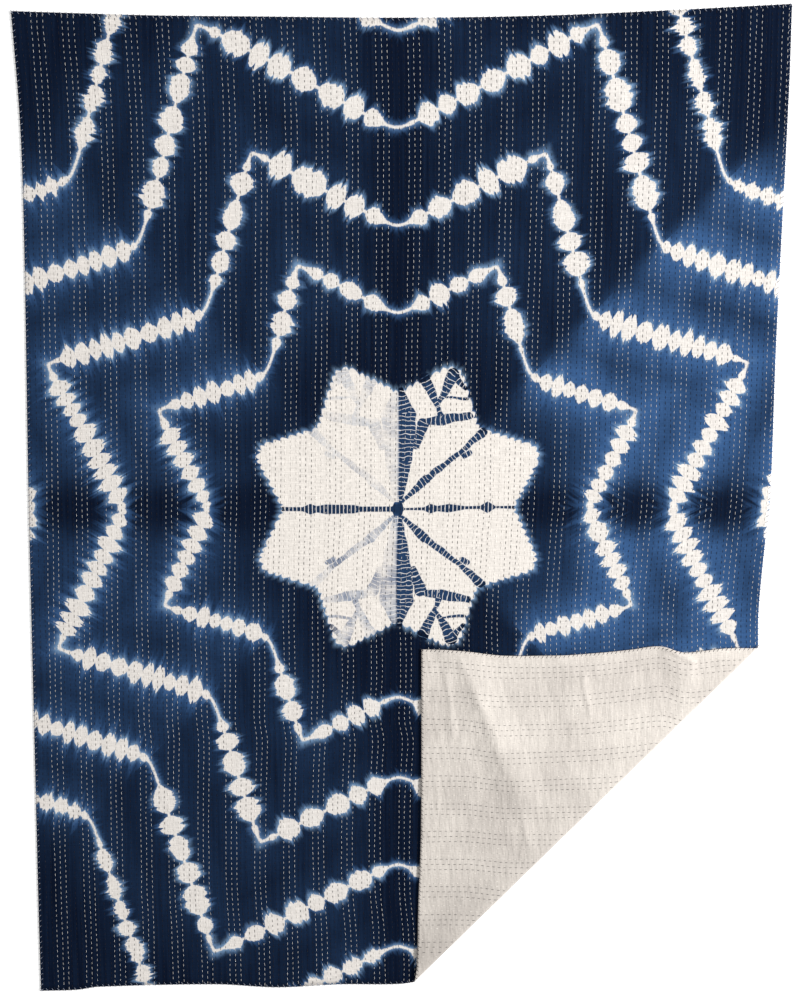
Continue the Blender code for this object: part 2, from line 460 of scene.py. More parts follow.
def add(tree, kind, inputs=(), **settings):
    """Add a node with its settings and what feeds it. A kind in capitals is a Math node's operation."""
    node = tree.nodes.new("ShaderNodeMath" if kind.isupper() else kind)
    if kind.isupper():
        node.operation = kind
    for name, value in settings.items():
        setattr(node, name, value)
    feed(node, inputs)
    return node


def ramp(add_node, share, rows, interpolation="LINEAR"):
    """Read a table of places from 0 to 1 and colours at a share."""
    node = add_node("ShaderNodeValToRGB", [share])
    node.color_ramp.interpolation = interpolation
    stops = node.color_ramp.elements
    stops.remove(stops[-1])
    for number, (at, colour) in enumerate(rows):
        stop = stops.new(at) if number else stops[0]
        stop.position = at
        stop.color = (*colour, 1)
    return node


def face_sockets(tree, in_out, kind, *names):
    """Give a node group inputs or outputs of one kind."""
    for name in names:
        tree.interface.new_socket(name, in_out=in_out, socket_type="NodeSocket" + kind)


def star_group():
    """The bound and dyed star as a node group, read at a flat place.

    White is undyed cloth, Fringe the pale rim around it, Glow the lighter dye that spreads from it,
    and Tone how light the dye is elsewhere, with painted shade that darkens it towards the ends and corners.
    """
    group = bpy.data.node_groups.new("Bound star", "ShaderNodeTree")
    face_sockets(group, "INPUT", "Vector", "Place")
    face_sockets(group, "OUTPUT", "Float", "White", "Fringe", "Glow", "Tone")
    soft = {"interpolation_type": "SMOOTHSTEP"}
    node = partial(add, group)
    entry = node("NodeGroupInput")

    # Where the place is in the star: each of the sixteen half points is folded onto the first one
    place = node(VECTORS, [entry.outputs["Place"], STAR_MIDDLE], operation="SUBTRACT")
    drift = node(NOISE, [place, 2.6, 1.0])
    drift = node(VECTORS, [drift.outputs["Color"], (0.5, 0.5, 0.5)], operation="SUBTRACT")
    bent = node(VECTORS, [drift, STAR_DRIFT, place], operation="MULTIPLY_ADD")
    axes = node("ShaderNodeSeparateXYZ", [bent])
    x = axes.outputs["X"]
    y = node("MULTIPLY", [axes.outputs["Y"], STAR_SQUEEZE])
    flat = node(JOINED, [x, y, 0.0])
    radius = node(VECTORS, [flat], operation="LENGTH").outputs["Value"]
    angle = node("ARCTAN2", [y, x])
    half_point = node("FLOOR", [node("MULTIPLY", [angle, 1 / STAR_TIP_ANGLE])])
    from_notch = node("PINGPONG", [angle, STAR_TIP_ANGLE])
    out = node("MULTIPLY", [node("COSINE", [from_notch]), radius])
    aside = node("MULTIPLY", [node("SINE", [from_notch]), radius])
    from_middle = node("ABSOLUTE", [x])
    from_level = node("ABSOLUTE", [y])
    upright = node("GREATER_THAN", [from_level, from_middle])
    rightward = node(LEVEL, [x, -0.03, 0.05], **soft)
    diagonal = node("SINE", [node("MULTIPLY", [angle, 2.0])])
    diagonal = node("MULTIPLY", [diagonal, diagonal])
    by_diagonal = node("GREATER_THAN", [diagonal, 0.5])

    # The ring through this place, by where it crosses its notch, and then the nearest bound ring
    bend = node("SQRT", [node("MULTIPLY_ADD", [aside, aside, NOTCH_ROUNDING ** 2])])
    ring = node("ADD", [node("MULTIPLY_ADD", [bend, -RING_SLOPE, out]), RING_SLOPE * NOTCH_ROUNDING])
    ring = node("MULTIPLY_ADD", [diagonal, DIAGONAL_DEPTH, ring])
    from_tip = node("MULTIPLY", [node("SUBTRACT", [STAR_TIP_ANGLE, from_notch]), radius])
    tip_bend = node("SQRT", [node("MULTIPLY_ADD", [from_tip, from_tip, TIP_ROUNDING ** 2])])
    tip_bend = node("SUBTRACT", [tip_bend, from_tip])
    ring = node("MULTIPLY_ADD", [tip_bend, TIP_SLOPE, ring])
    inner = [FLOWER_NOTCH] + [row[0] for row in RINGS]
    table = [((before + row[0]) / 2, row) for before, row in zip(inner, RINGS)]
    nearest = ramp(node, ring, table, "CONSTANT")
    nearest = node("ShaderNodeSeparateColor", [nearest])
    notch, half_height, ravel = nearest.outputs[0], nearest.outputs[1], nearest.outputs[2]
    lean = math.atan(RING_SLOPE)
    off_line = node("MULTIPLY", [node("SUBTRACT", [ring, notch]), math.cos(lean)])
    along = node("MULTIPLY", [node("SUBTRACT", [out, notch]), math.sin(lean)])
    along = node("MULTIPLY_ADD", [aside, math.cos(lean), along])
    to_tip = node("SUBTRACT", [node("MULTIPLY", [notch, ARM_SHARE]), along])

    # Beads along the line: close ones beside the level axis, single ones beside the upright axis
    seed = node("MULTIPLY_ADD", [notch, 31.0, half_point])
    stray = node(NOISE, [node(JOINED, [along, seed, 0.0]), 11.0, 0.0])
    pitch = node(LEVEL, [upright, 0.0, 1.0, CLOSE_BEADS, SINGLE_BEADS])
    count = node("MULTIPLY_ADD", [stray, 1.3, node("DIVIDE", [along, pitch])])
    phase = node("MULTIPLY", [count, math.pi])
    pinch = node("ABSOLUTE", [node("SINE", [phase])])
    apart = node(LEVEL, [upright, 0.0, 1.0, 0.0, 0.18])
    pinch = node(LEVEL, [pinch, apart, 1.0])
    power = node(LEVEL, [upright, 0.0, 1.0, 0.8, 0.6])
    pinch = node("POWER", [pinch, power])
    floor = node(LEVEL, [upright, 0.0, 1.0, 0.12, 0.02])
    pinch = node(LEVEL, [pinch, 0.0, 1.0, floor])
    each = node(JOINED, [node("FLOOR", [count]), seed, 0.0])
    chance = node("ShaderNodeTexWhiteNoise", {"Vector": each}).outputs["Value"]
    each = node(LEVEL, [chance, 0.0, 1.0, 0.64, 1.12])
    slit = node("ABSOLUTE", [node("COSINE", [phase])])
    slit_depth = node(LEVEL, [chance, 0.45, 0.75, 1.0, 0.7])
    slit = node(LEVEL, [slit, 0.04, 0.22, slit_depth])
    pinch = node("MULTIPLY", [pinch, slit])
    thin_end = node(LEVEL, [by_diagonal, 0.0, 1.0, 12 * MM, 32 * MM])
    thin_end = node(MIX, [upright, -15 * MM, thin_end], data_type="FLOAT")
    full_start = node("ADD", [thin_end, 45 * MM])
    swell = node(LEVEL, [along, thin_end, full_start], **soft)
    taper = node(LEVEL, [to_tip, 12 * MM, 55 * MM], **soft)
    bead = node("MULTIPLY", [node("MULTIPLY", [swell, taper]), pinch])
    bead = node("MULTIPLY", [bead, each])
    half = node("MULTIPLY_ADD", [bead, half_height, LINE_HALF_WIDTH])
    away = node("ABSOLUTE", [off_line])
    comb_size = node(VECTORS, [node(JOINED, [along, off_line, seed]), (1.0, 0.12, 1.0)], operation="MULTIPLY")
    comb = node(LEVEL, [node(NOISE, [comb_size, 170.0, 2.0]), 0.25, 0.75, -1.0, 1.0])
    half = node("MULTIPLY_ADD", [comb, node("MULTIPLY", [bead, ravel]), half])
    reach = node("SUBTRACT", [half, away])

    # The flower in the middle: the same points, blunt and with a scalloped rim
    rim = node("MULTIPLY_ADD", [aside, -FLOWER_SLOPE, out])
    rim = node("SUBTRACT", [FLOWER_NOTCH, node("MULTIPLY_ADD", [diagonal, 0.4 * DIAGONAL_DEPTH, rim])])
    blunt = node("SUBTRACT", [FLOWER_TIP, radius])
    petals = node("SMOOTH_MIN", [rim, blunt, TIP_BLUNTING])
    scallop_stray = node(NOISE, [node(JOINED, [aside, half_point, 0.0]), 23.0, 1.0])
    scallop = node("MULTIPLY_ADD", [scallop_stray, 2.4, node("MULTIPLY", [aside, 1 / SCALLOP_PITCH])])
    scallop = node("SINE", [node("MULTIPLY", [scallop, math.pi])])
    scallop = node("ABSOLUTE", [scallop])
    petals = node("MULTIPLY_ADD", [scallop, SCALLOP_HEIGHT, petals])
    far_reach = node("MAXIMUM", [reach, node("MULTIPLY", [petals, 2.6])])
    reach = node("MAXIMUM", [reach, petals])

    # Folds in the flower where dye crept in, in small blocks between white threads
    quarter = node(JOINED, [from_middle, from_level, 0.0])
    wobble = node(NOISE, [flat, 55.0, 1.0])
    wobble = node(VECTORS, [wobble.outputs["Color"], (0.5, 0.5, 0.5)], operation="SUBTRACT")
    quarter = node(VECTORS, [wobble, FOLD_WOBBLE, quarter], operation="MULTIPLY_ADD")
    inside, rungs = None, None
    for start, end, half_widths in FLOWER_FOLDS:
        run = (end[0] - start[0], end[1] - start[1], 0.0)
        length = math.hypot(*run)
        local = node(VECTORS, [quarter, (*start, 0.0)], operation="SUBTRACT")
        way = tuple(part / length for part in run)
        down = node(VECTORS, [local, way], operation="DOT_PRODUCT").outputs["Value"]
        held = node(LEVEL, [down, 0.0, length, 0.0, length])
        foot = node(VECTORS, {0: way, "Scale": held}, operation="SCALE")
        gap = node(VECTORS, [local, foot], operation="SUBTRACT")
        gap = node(VECTORS, [gap], operation="LENGTH").outputs["Value"]
        half_width = node(LEVEL, [down, 0.0, length, *(MM * width for width in half_widths)])
        depth = node("SUBTRACT", [half_width, gap])
        if inside is None:
            inside, rungs = depth, down
            continue
        nearer = node("GREATER_THAN", [depth, inside])
        rungs = node(MIX, [nearer, rungs, down], data_type="FLOAT")
        inside = node("MAXIMUM", [depth, inside])
    stained = node(LEVEL, [inside, -0.4 * MM, 0.8 * MM])
    rung_stray = node(NOISE, [flat, 70.0, 0.0])
    rungs = node("PINGPONG", [node("MULTIPLY_ADD", [rung_stray, 7 * MM, rungs]), RUNG_PITCH / 2])
    rungs = node(LEVEL, [rungs, 0.1 * MM, 0.8 * MM])
    stained = node("MULTIPLY", [stained, rungs])
    upward = node(LEVEL, [y, -5 * MM, 5 * MM])
    left_dye = node(LEVEL, [upward, 0.0, 1.0, 0.70, 0.36])
    patchy = node(LEVEL, [node(NOISE, [flat, 26.0, 2.0]), 0.38, 0.62, 0.2, 1.1])
    left_dye = node("MULTIPLY", [left_dye, patchy])
    dye = node(LEVEL, [x, -3 * MM, 1 * MM, left_dye])
    stained = node("MULTIPLY", [stained, dye])
    seam_place = node(LEVEL, [x, -SEAM_HALF_LENGTH, SEAM_HALF_LENGTH])
    seam = [((at / SEAM_HALF_LENGTH + 1) / 2, [width * MM] * 3) for at, width in FLOWER_SEAM]
    seam = ramp(node, seam_place, seam)
    seam = node(LEVEL, [node("SUBTRACT", [seam, from_level]), -0.6 * MM, 0.8 * MM])
    seam_rungs = node(LEVEL, [node("PINGPONG", [x, SEAM_RUNG_PITCH / 2]), 0.3 * MM, 0.9 * MM, 0.1, 1.0])
    middle = node("LESS_THAN", [from_middle, 8 * MM])
    seam_rungs = node("MAXIMUM", [seam_rungs, middle])
    seam = node("MULTIPLY", [seam, seam_rungs])
    on_petals = node("GREATER_THAN", [petals, 0.0])
    seam = node("MULTIPLY", [seam, on_petals])
    stained = node("MAXIMUM", [stained, seam])
    clean = node("SUBTRACT", [1.0, stained])

    # The answers
    fuzz = node(NOISE, [flat, 330.0, 1.0])
    reach = node("MULTIPLY_ADD", [fuzz, 3 * MM, reach])
    white = node("MULTIPLY", [node(LEVEL, [reach, 0.5 * MM, 3.0 * MM], **soft), clean])
    purity = node(LEVEL, [petals, 0.0, 5 * MM, 0.93])
    white = node("MULTIPLY", [white, purity])
    by_flower = node("GREATER_THAN", [petals, -20 * MM])
    fringe_width = node(LEVEL, [node("MAXIMUM", [swell, by_flower]), 0.0, 1.0, -6 * MM, -13 * MM])
    fringe = node("POWER", [node(LEVEL, [reach, fringe_width, 1.5 * MM]), 2.2])
    fringe = node("MULTIPLY", [fringe, clean])
    uneven = node(LEVEL, [node(NOISE, [flat, 17.0, 1.0]), 0.38, 0.62, 0.05, 1.0])
    fringe = node("MULTIPLY", [fringe, uneven])
    beside = node(LEVEL, [rightward, 0.0, 1.0, -40 * MM, -55 * MM])
    spread = node(MIX, [upright, beside, -18 * MM], data_type="FLOAT")
    feather = node(LEVEL, [comb, -1.0, 1.0, 0.25, 1.3])
    spread = node("MULTIPLY", [spread, feather])
    glow = node("POWER", [node(LEVEL, [far_reach, spread, 0.0]), 2.1])
    glow = node("MULTIPLY", [glow, clean])
    sides = node(LEVEL, [rightward, 0.0, 1.0, 0.42])
    ends = node(LEVEL, [rightward, 0.0, 1.0, 0.18, 0.12])
    lean_over = node(LEVEL, [node("SUBTRACT", [from_level, from_middle]), -0.05, 0.03], **soft)
    tone = node(MIX, [lean_over, sides, ends], data_type="FLOAT")
    for *fade, style in (
        (from_level, 12 * MM, 75 * MM, 0.06, 1.0, soft),
        (from_middle, 5 * MM, 110 * MM, 0.06, 1.0, soft),
        (away, 15 * MM, 75 * MM, 1.0, 0.45, {}),
        (radius, 0.24, 0.40, 0.4, 1.0, soft),
        # Painted shade: darker towards the throw's ends and corners
        (radius, 0.80, 0.98, 1.0, 0.25, soft),
    ):
        tone = node("MULTIPLY", [tone, node(LEVEL, fade, **style)])
    clouds = node(LEVEL, [node(NOISE, [flat, 7.0, 3.0]), 0.3, 0.7, 0.55, 1.35])
    tone = node("MULTIPLY", [tone, clouds])
    in_flower = node(LEVEL, [petals, 2 * MM, 14 * MM])
    petal_tone = node(LEVEL, [x, -3 * MM, 1 * MM, 0.75, 0.4])
    petal_tone = node(LEVEL, [from_level, 7 * MM, 13 * MM, 0.25, petal_tone])
    tone = node(MIX, [in_flower, tone, petal_tone], data_type="FLOAT")
    node("NodeGroupOutput", [white, fringe, glow, tone])
    return group


def new_material(name):
    """An empty material, what adds its nodes, and its surface shader."""
    material = bpy.data.materials.new(name)
    material.use_nodes = True
    tree = material.node_tree
    return material, partial(add, tree), tree.nodes["Principled BSDF"]


def woven_surface(node, shader, place, body, depth, darkest, lightest):
    """Matt cotton: uneven hand-woven threads, and the small puckers that run across the rows.

    Real threads are 0.3 mm apart, too fine to show, so they are drawn 2 mm apart.
    """
    scales = ((500.0, 60.0, 1.0), (60.0, 500.0, 1.0), (32.0, 125.0, 1.0))
    drawn = [node("ShaderNodeMapping", {"Vector": place, "Scale": scale}) for scale in scales]
    warp, weft, puckers = [node(NOISE, [part, 1.0, 1.0]) for part in drawn]
    threads = node("ADD", [warp, weft])
    height = node("MULTIPLY_ADD", [puckers, 3.0, threads])
    bump = node("ShaderNodeBump", {"Strength": 0.6, "Distance": depth, "Height": height})
    grain = node(LEVEL, [threads, 0.7, 1.3, darkest, lightest])
    body = node(MIX, [1.0, body, grain], **MULTIPLIED)
    feed(shader, COTTON | {"Base Color": body, "Normal": bump})


def dyed_cotton(star, colours):
    """Hand-woven cotton, bound and dipped in indigo: matt, streaked, and creamy where it was bound."""
    material, node, shader = new_material("Indigo resist-dyed cotton")
    place = node("ShaderNodeUVMap", uv_map="cloth").outputs["UV"]
    dye = node("ShaderNodeGroup", {"Place": place}, node_tree=star)
    streaks = node("ShaderNodeMapping", {"Vector": place, "Scale": (190.0, 5.0, 1.0)})
    streaks = node(NOISE, [streaks, 1.0, 3.0])
    streaks = node(LEVEL, [streaks, 0.3, 0.7, -0.03, 0.05])
    tone = node("ADD", [dye.outputs["Tone"], streaks], use_clamp=True)
    deep, mid = (*colours.deep_indigo, 1), (*colours.mid_indigo, 1)
    body = node(MIX, [tone, deep, mid], **COLOURS)
    pale, undyed = (*colours.pale_indigo, 1), (*colours.undyed, 1)
    for share, colour in (("Glow", mid), ("Fringe", pale), ("White", undyed)):
        body = node(MIX, [dye.outputs[share], body, colour], **COLOURS)
    woven_surface(node, shader, place, body, 0.5 * MM, 0.86, 1.1)
    return material


def plain_cotton(colours):
    """Undyed cotton, washed soft: matt cream with faint grey patches, and greyer towards its lower edge by
    painted shade.
    """
    material, node, shader = new_material("Undyed cotton")
    place = node("ShaderNodeUVMap", uv_map="cloth").outputs["UV"]
    patches = node(NOISE, [place, 9.0, 4.0])
    patches = node(LEVEL, [patches, 0.35, 0.65])
    cream, grey = (*colours.cream, 1), (*colours.cream_shade, 1)
    body = node(MIX, [patches, cream, grey], **COLOURS)
    # Painted shade and light: darker towards the crease's lower end, by the flap's lower corner, a little
    # lighter towards its upper end
    up_crease = node(VECTORS, [place, (*ALONG_CREASE, 0)], operation="DOT_PRODUCT")
    painted_light_and_shade = node(LEVEL, [up_crease.outputs["Value"], -0.6, 0.2, 0.84, 1.08])
    body = node(MIX, [1.0, body, painted_light_and_shade], **MULTIPLIED)
    woven_surface(node, shader, place, body, 0.7 * MM, 0.93, 1.05)
    return material


def cotton_thread(name, colour):
    """Matt cotton thread, a little darker and lighter from place to place."""
    material, node, shader = new_material(name)
    place = node("ShaderNodeAttribute", attribute_name="flat_place").outputs["Vector"]
    uneven = node(NOISE, [place, 60.0, 1.0])
    uneven = node(LEVEL, [uneven, 0.3, 0.7, 0.8, 1.15])
    body = node(MIX, [1.0, (*colour, 1), uneven], **MULTIPLIED)
    feed(shader, THREAD | {"Base Color": body})
    return material


def edge_thread(colours):
    """The same thread around the edges: pale on the dyed side, dark on the plain side."""
    material, node, shader = new_material("Overcast thread")
    side = node("ShaderNodeAttribute", attribute_name="to_front")
    light, dark = (*colours.edge_thread, 1), (*colours.dark_thread, 1)
    body = node(MIX, [side.outputs["Fac"], dark, light], **COLOURS)
    feed(shader, THREAD | {"Base Color": body})
    return material


def dash_shape(node, entry):
    """One running stitch: a slim grain of thread, along X."""
    cuts = {"Segments": entry.outputs["Sides"], "Rings": entry.outputs["Rings"]}
    grain = node("GeometryNodeMeshUVSphere", cuts | {"Radius": 0.5})
    size = [entry.outputs[name] for name in ("Width", "Height", "Length")]
    size = node(JOINED, size)
    sized = node("GeometryNodeTransform", {"Geometry": grain.outputs["Mesh"], "Scale": size})
    turned = node("GeometryNodeTransform", {"Geometry": sized, "Rotation": (0, math.pi / 2, 0)})
    return turned


def loop_shape(node, entry):
    """One overcast stitch: a flat ring of thread around the edge, across X."""
    ring = node("GeometryNodeCurvePrimitiveCircle", {"Resolution": 8, "Radius": 0.5})
    profile = node("GeometryNodeCurvePrimitiveCircle", {"Resolution": 4, "Radius": OVERCAST_THREAD})
    size = node(JOINED, [entry.outputs["Length"], entry.outputs["Height"], 1.0])
    sized = node("GeometryNodeTransform", {"Geometry": ring.outputs["Curve"], "Scale": size})
    upright = (math.pi / 2, 0, math.pi / 2)
    turned = node("GeometryNodeTransform", {"Geometry": sized, "Rotation": upright})
    tube = node("GeometryNodeCurveToMesh", {"Curve": turned, "Profile Curve": profile.outputs["Curve"]})
    position = node("GeometryNodeInputPosition")
    up = node("ShaderNodeSeparateXYZ", [position])
    to_front = node("FunctionNodeCompare", {0: up.outputs["Z"], 1: 0.0}, operation="GREATER_THAN")
    return node(
        "GeometryNodeStoreNamedAttribute",
        {"Geometry": tube, "Name": "to_front", "Value": to_front},
        data_type="FLOAT",
    )


def stitch_tree(name, shape, material):
    """Stitches along rows: the rows are cut at the pitch and a stitch is set at each cut."""
    tree = bpy.data.node_groups.new(name, "GeometryNodeTree")
    face_sockets(tree, "INPUT", "Geometry", "Rows")
    face_sockets(tree, "INPUT", "Float", "Pitch", "Length", "Width", "Height", "Slant", "Unevenness")
    face_sockets(tree, "INPUT", "Int", "Seed", "Sides", "Rings")
    face_sockets(tree, "OUTPUT", "Geometry", "Stitches")
    node = partial(add, tree)
    entry = node("NodeGroupInput")
    uneven, seed = entry.outputs["Unevenness"], entry.outputs["Seed"]
    rows = node("GeometryNodeMeshToCurve", {"Mesh": entry.outputs["Rows"]})
    pitch = {"Curve": rows, "Length": entry.outputs["Pitch"]}
    cuts = node("GeometryNodeResampleCurve", pitch, mode="LENGTH")
    facing = node("GeometryNodeInputNamedAttribute", {"Name": "facing"}, data_type="FLOAT_VECTOR")
    tangent = node("GeometryNodeInputTangent")
    align = "FunctionNodeAlignRotationToVector"
    upright = node(align, {"Vector": facing}, axis="Z")
    turned = node(align, {"Rotation": upright, "Vector": tangent}, axis="X", pivot_axis="Z")
    stray = node("MULTIPLY", [uneven, 0.4])
    other_way = node("MULTIPLY", [stray, -1.0])
    chance = {"data_type": "FLOAT"}
    wander = node("FunctionNodeRandomValue", [other_way, stray, None, seed], **chance)
    slant = node("ADD", [wander, entry.outputs["Slant"]])
    spin = node(JOINED, [0.0, 0.0, slant])
    spun = node("FunctionNodeRotateRotation", [turned, spin], rotation_space="LOCAL")
    least = node("SUBTRACT", [1.0, uneven])
    most = node("ADD", [1.0, uneven])
    stretch = node("FunctionNodeRandomValue", [least, most, None, seed], **chance)
    stretch = node(JOINED, [stretch, 1.0, 1.0])
    placed = node(
        "GeometryNodeInstanceOnPoints",
        {"Points": cuts, "Instance": shape(node, entry), "Rotation": spun, "Scale": stretch},
    )
    solid = node("GeometryNodeRealizeInstances", {"Geometry": placed})
    smooth = node("GeometryNodeSetShadeSmooth", {"Geometry": solid})
    finished = node("GeometryNodeSetMaterial", {"Geometry": smooth, "Material": material})
    node("NodeGroupOutput", [finished])
    return tree


def row_mesh(name, rows):
    """Rows as chains of edges. Each row is its flat places, where they lie and how the face looks."""
    mesh = bpy.data.meshes.new(name)
    points = np.concatenate([row[1] for row in rows])
    firsts = np.cumsum([0] + [len(row[1]) for row in rows])
    edges = [(i, i + 1) for low, high in zip(firsts, firsts[1:]) for i in range(low, high - 1)]
    mesh.from_pydata(points.tolist(), edges, [])
    flat = np.concatenate([np.column_stack([row[0], np.zeros(len(row[0]))]) for row in rows])
    for attribute, values in (("flat_place", flat), ("facing", np.concatenate([row[2] for row in rows]))):
        layer = mesh.attributes.new(attribute, "FLOAT_VECTOR", "POINT")
        layer.data.foreach_set("vector", values.astype(np.float32).ravel())
    return mesh


def make_stitches(name, rows, tree, values):
    """Run a stitch tree over rows and keep the result as a plain mesh."""
    carrier = new_object(name + "_rows", row_mesh(name + "_rows", rows))
    modifier = carrier.modifiers.new("Stitches", "NODES")
    modifier.node_group = tree
    for item in tree.interface.items_tree:
        if item.item_type == "SOCKET" and item.in_out == "INPUT" and item.name in values:
            modifier[item.identifier] = values[item.name]
    graph = bpy.context.evaluated_depsgraph_get()
    mesh = bpy.data.meshes.new_from_object(carrier.evaluated_get(graph))
    mesh.name = name
    bpy.data.objects.remove(carrier, do_unlink=True)
    return new_object(name, mesh)


def sewn_rows(places, keep, offset=0.0, side=1):
    """Each run of wanted places that is long enough to sew, as a row: its places, points and facings."""
    points, facing = folded_places(places, np.full(len(places), offset))
    marks = np.flatnonzero(np.diff(np.concatenate([[0], keep.astype(int), [0]])))
    runs = [(low, high) for low, high in zip(marks[::2], marks[1::2]) if high - low >= SHORTEST_RUN]
    return [(places[low:high], points[low:high], side * facing[low:high]) for low, high in runs]


def under_flap(places):
    """Which flat places the flap covers, a little beyond its edges too."""
    past = past_crease(places)
    mirrored = places + np.outer(CREASE_LENGTH - 2 * past, ACROSS_CREASE)
    across, along = shares(mirrored)
    return (past < 0) & (across < 0.998) & (along > 0.002)


def stitch_rows(sizes, face, first_group):
    """Rows of running stitch in every second group, on the front, on the flap or under the throw."""
    random = np.random.default_rng(20 + 2 * (face == "front") + first_group)
    side = 1 if face == "front" else -1
    rows = []
    for group in range(first_group, GROUP_COUNT, 2):
        group_sway = random.uniform(-GROUP_SWAY, GROUP_SWAY, GROUP_KNOTS) * MM
        for row in (-1, 0, 1):
            from_left = FIRST_GROUP + group * GROUP_PITCH + row * ROW_PITCH
            start = ROW_END + random.uniform(0, sizes.stitch_pitch)
            along = np.arange(start, LENGTH - ROW_END, ROW_STEP) / LENGTH
            sway = np.interp(along, np.linspace(0, 1, GROUP_KNOTS), group_sway)
            row_sway = random.uniform(-ROW_SWAY, ROW_SWAY, ROW_KNOTS) * MM
            sway += np.interp(along, np.linspace(0, 1, ROW_KNOTS), row_sway)
            if from_left > WIDTH - HEM:
                continue
            places = flat_places((from_left + sway) / WIDTH, along)
            past = past_crease(places)
            keep = past > CREASE_LENGTH if face == "flap" else past < 0
            offset = -PAIR_THICKNESS / 2 - sizes.stitch_height * THREAD_STAND
            if face == "front":
                keep &= ~under_flap(places)
                offset = CLOTH_GAP / 2 + CLOTH_THICKNESS + sizes.stitch_height * THREAD_STAND
            rows += sewn_rows(places, keep, offset, side)
    return rows


def edge_rows(on_flap):
    """The edges of the flap, or those of the rest, as rows for the overcast stitch."""
    across, along = OVERCAST_INSET / WIDTH, OVERCAST_INSET / LENGTH
    run = np.linspace(0.001, 0.999, EDGE_POINTS)
    level = np.ones_like(run)
    sides = [
        (run, level * along),
        (level * (1 - across), run),
        (run[::-1], level * (1 - along)),
        (level * across, run[::-1]),
    ]
    rows = []
    for side in sides:
        places = flat_places(*side)
        rows += sewn_rows(places, (past_crease(places) > CREASE_LENGTH / 2) == on_flap)
    return rows


def size_property(label, text, millimetres):
    """A length that a user would change."""
    return FloatProperty(name=label, description=text, default=millimetres * MM, unit="LENGTH")


class ThrowSizes(bpy.types.PropertyGroup):
    """Sizes of the quilting and its stitches."""

    row_rise: size_property("Row rise", "How far the cloth stands up between two rows of stitches", 0.7)
    front_share: FloatProperty(
        name="Front share", description="How much of that rise the dyed face shows",
        default=0.55, min=0, max=1, subtype="FACTOR",
    )
    pucker_pitch: size_property("Pucker pitch", "Distance between the small puckers across the rows", 8)
    pucker_depth: size_property("Pucker depth", "How deep those puckers are", 1.1)
    stitch_pitch: size_property("Stitch pitch", "From one running stitch to the next", 10)
    stitch_length: size_property("Stitch length", "Length of a running stitch", 5.8)
    stitch_width: size_property("Stitch width", "Width of the quilting thread", 2.0)
    stitch_height: size_property("Stitch height", "Height of the quilting thread", 0.8)
    overcast_pitch: size_property("Overcast pitch", "From one edge stitch to the next", 10.5)
    flap_overcast_pitch: size_property("Flap overcast pitch", "The same on the folded corner's edges", 7.8)
    overcast_reach: size_property("Overcast reach", "How far an edge stitch reaches over the edge", 8)
    seed: IntProperty(name="Seed", description="Changes how the stitches stray", default=4)


def colour_property(label, text, value):
    """A colour that a user would change, from its sRGB hex value."""
    return FloatVectorProperty(
        name=label, description=text, subtype="COLOR", size=3, min=0, max=1, default=linear(value)
    )


class ThrowColours(bpy.types.PropertyGroup):
    """Colours of the dye, the cloths and the thread."""

    deep_indigo: colour_property("Deep indigo", "Dye where it is darkest", "#0a1428")
    mid_indigo: colour_property("Mid indigo", "Dye towards the rings", "#3b5e8d")
    pale_indigo: colour_property("Pale indigo", "Dye that crept under the binding", "#7f9fc0")
    undyed: colour_property("Undyed", "Front cloth where it was bound", "#f6efe7")
    cream: colour_property("Cream", "Back cloth", "#eee6dd")
    cream_shade: colour_property("Cream shade", "Back cloth's greyer patches", "#d9d1c9")
    light_thread: colour_property("Light thread", "Thread of every second group", "#ebe7e1")
    edge_thread: colour_property("Edge thread", "Overcast stitches on the dyed side", "#9499a8")
    dark_thread: colour_property("Dark thread", "Thread of the groups between", "#1d1a28")
    floor: colour_property("Floor", "The pale floor below", "#fafafa")


def shared_star():
    """The star's node group, made once."""
    return bpy.data.node_groups.get("Bound star") or star_group()


class THROW_OT_dyed_front(bpy.types.Operator):
    """Make the dyed front cloth"""

    bl_idname = "throw.dyed_front"
    bl_label = "Dyed front"

    def execute(self, context):
        sizes, colours = context.scene.throw_sizes, context.scene.throw_colours
        material = dyed_cotton(shared_star(), colours)
        columns, rows = quilt_columns(), np.linspace(0, 1, FRONT_LINES)
        cloth = make_cloth("dyed_front", columns, rows, front_offset, sizes, material)
        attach(cloth, "root")
        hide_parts("front_cloth")
        return {"FINISHED"}


class THROW_OT_plain_back(bpy.types.Operator):
    """Make the plain back cloth, finest where it shows on the flap"""

    bl_idname = "throw.plain_back"
    bl_label = "Plain back"

    def execute(self, context):
        sizes, colours = context.scene.throw_sizes, context.scene.throw_colours
        columns = quilt_columns()
        coarse = columns < 0.5
        columns = np.concatenate([columns[coarse][::HIDDEN_STEP], columns[~coarse]])
        fine, hidden = np.linspace(0, FLAP_SHARE, FLAP_LINES), np.linspace(FLAP_SHARE, 1, HIDDEN_LINES)
        rows = np.concatenate([fine, hidden[1:]])
        cloth = make_cloth("plain_back", columns, rows, back_offset, sizes, plain_cotton(colours))
        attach(cloth, "root")
        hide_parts("back_cloth")
        return {"FINISHED"}


